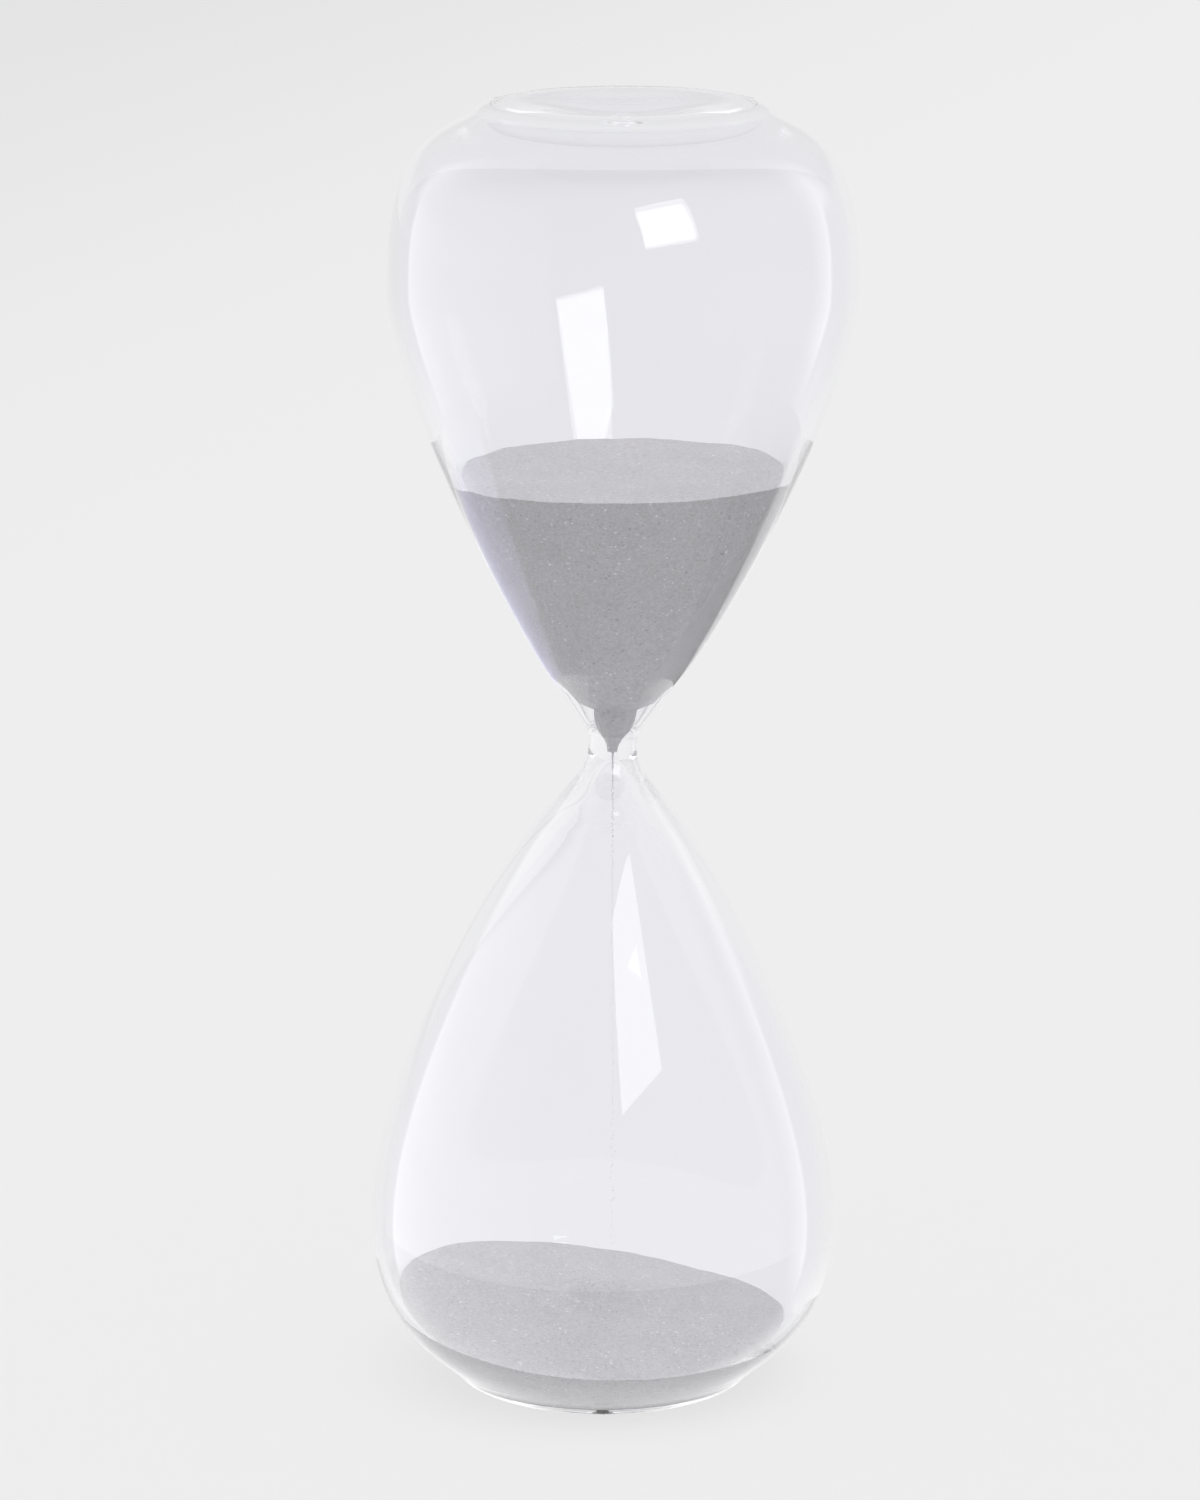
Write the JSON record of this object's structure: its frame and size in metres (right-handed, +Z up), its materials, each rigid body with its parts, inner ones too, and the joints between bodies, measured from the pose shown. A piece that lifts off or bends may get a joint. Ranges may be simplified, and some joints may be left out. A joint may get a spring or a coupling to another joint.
{
  "type": "hourglass",
  "caption": "Frameless blown glass hourglass with pear-shaped bulbs, a heavy-walled neck, a sealed filling hole and pale grey sand running through.",
  "frame": {"origin": "on the table, at the middle of the hourglass's own box, under the neck", "axes": "+Z up along the height; the front is -Y; X runs across, along the slight lean of the blown bulbs"},
  "size_m": [0.0882, 0.0852, 0.2351],
  "materials": {
    "clear_glass": "polished",
    "grey_sand": "matte"
  },
  "bodies": {
    "root": {"lower_bulb": "clear_glass", "neck_throat": "clear_glass", "upper_bulb": "clear_glass", "fill_seal": "clear_glass", "lower_sand": "grey_sand", "upper_sand": "grey_sand", "sand_stream": "grey_sand"}
  },
  "joints": []
}
